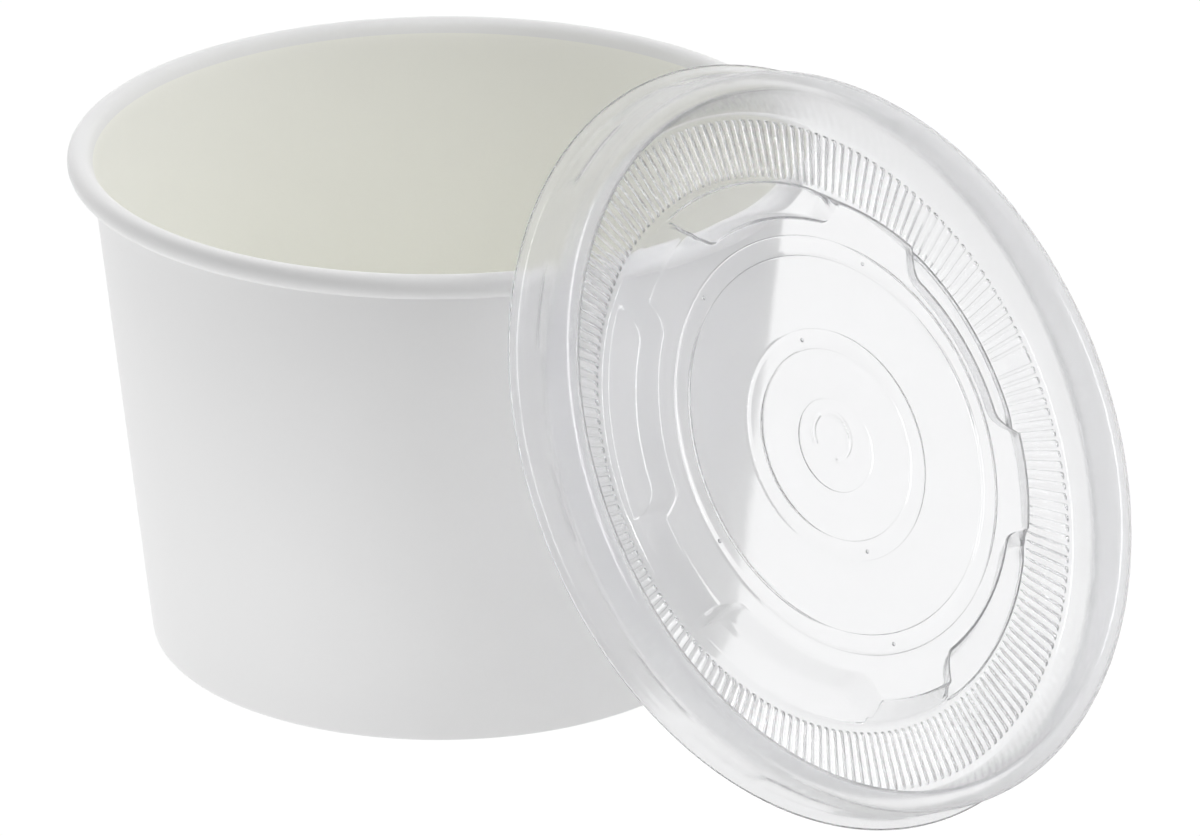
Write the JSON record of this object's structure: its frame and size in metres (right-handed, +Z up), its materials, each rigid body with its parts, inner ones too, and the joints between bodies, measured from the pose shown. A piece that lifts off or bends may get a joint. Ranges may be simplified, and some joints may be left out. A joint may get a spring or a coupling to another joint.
{
  "type": "takeaway soup container",
  "caption": "Round paper soup cup with a rolled rim, empty, and its clear plastic lid, ribbed round the edge, leaning against it.",
  "frame": {"origin": "the middle of the footprint of cup and lid together, on the surface they stand on", "axes": "+Z up along the cup's own axis; -Y towards the viewer of the picture; the lid leans on the cup's +X -Y side"},
  "size_m": [0.1632, 0.16, 0.1021],
  "materials": {
    "cup_wall": "smooth white coated paperboard",
    "cup_base": "smooth cream coated paperboard",
    "lid": "clear, glossy, slightly hazy"
  },
  "bodies": {
    "root": {"cup_wall": "cup_wall", "cup_base": "cup_base", "lid": "lid"}
  },
  "joints": []
}
